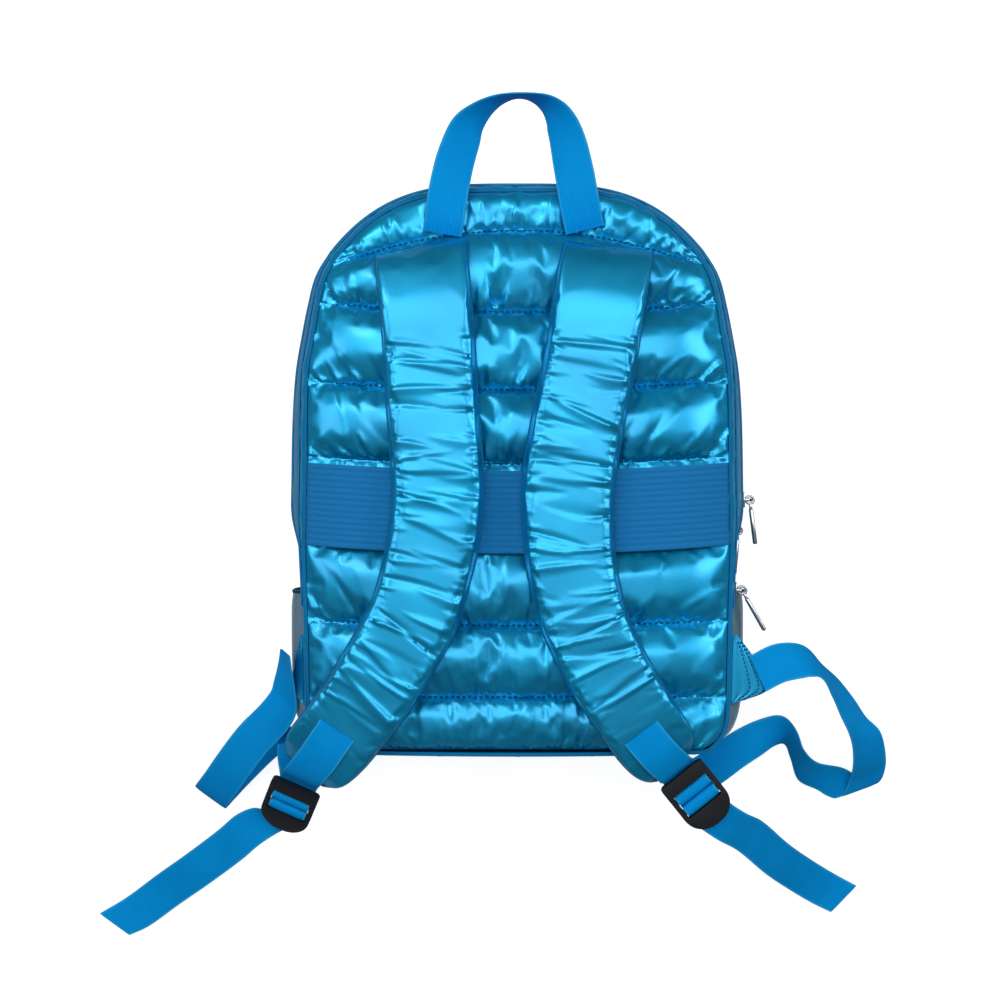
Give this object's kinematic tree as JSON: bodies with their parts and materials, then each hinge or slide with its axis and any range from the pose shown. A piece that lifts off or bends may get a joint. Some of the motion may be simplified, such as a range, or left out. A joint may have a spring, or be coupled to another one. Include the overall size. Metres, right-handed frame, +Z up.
{
  "type": "quilted puffer backpack",
  "caption": "Quilted puffer backpack lying on its front: puffed channels, padded shoulder straps, carry handle, elastic luggage band, buckled lower straps, zips and net side pockets.",
  "frame": {"origin": "middle of the flattened crest on which the front panel rests, on the floor", "axes": "+Z up from the front panel to the back panel and its shoulder straps, +Y towards the top of the bag, +X to the right as one looks down on the back panel"},
  "size_m": [0.6379, 0.6598, 0.1405],
  "materials": {
    "quilted_nylon": "crinkled metallic teal-blue coated nylon, stitched into puffed channels",
    "webbing": "plain woven blue webbing, matt",
    "ribbed_elastic": "blue elastic with fine lengthwise ribs",
    "zip_tape": "blue zip tape with closed teeth",
    "net": "grey-blue net",
    "buckle_plastic": "black moulded plastic",
    "chrome": "polished chrome"
  },
  "bodies": {
    "bag": {"back_panel": "quilted_nylon", "front_panel": "quilted_nylon", "side_wall": "quilted_nylon", "shoulder_pad_left": "quilted_nylon", "shoulder_pad_right": "quilted_nylon", "wing_left": "quilted_nylon", "wing_right": "quilted_nylon", "carry_handle": "webbing", "adapter_strap_left": "webbing", "adapter_strap_right": "webbing", "lower_strap_left": "webbing", "lower_strap_right": "webbing", "luggage_band": "ribbed_elastic", "zip_back": "zip_tape", "zip_middle": "zip_tape", "zip_front": "zip_tape", "side_pocket_left": "net", "side_pocket_right": "net", "ladder_buckle_left": "buckle_plastic", "ladder_buckle_right": "buckle_plastic", "zip_slider_1": "chrome", "zip_slider_2": "chrome", "zip_slider_3": "chrome"},
    "pull_1": {"zip_pull_1": "chrome"},
    "pull_2": {"zip_pull_2": "chrome"},
    "pull_3": {"zip_pull_3": "chrome"}
  },
  "joints": [
    {"name": "pull_swing_1", "type": "hinge", "parent": "bag", "child": "pull_1", "pos_m": [0.1829, -0.02194, 0.0518], "axis": [0, 0, 1], "range_deg": [-7, 140]},
    {"name": "pull_swing_2", "type": "hinge", "parent": "bag", "child": "pull_2", "pos_m": [0.17664, -0.04628, 0.03092], "axis": [0, 0, 1], "range_deg": [-2, 145]},
    {"name": "pull_swing_3", "type": "hinge", "parent": "bag", "child": "pull_3", "pos_m": [0.17139, -0.09097, 0.09095], "axis": [0, 0, 1], "range_deg": [-32, 118]}
  ]
}
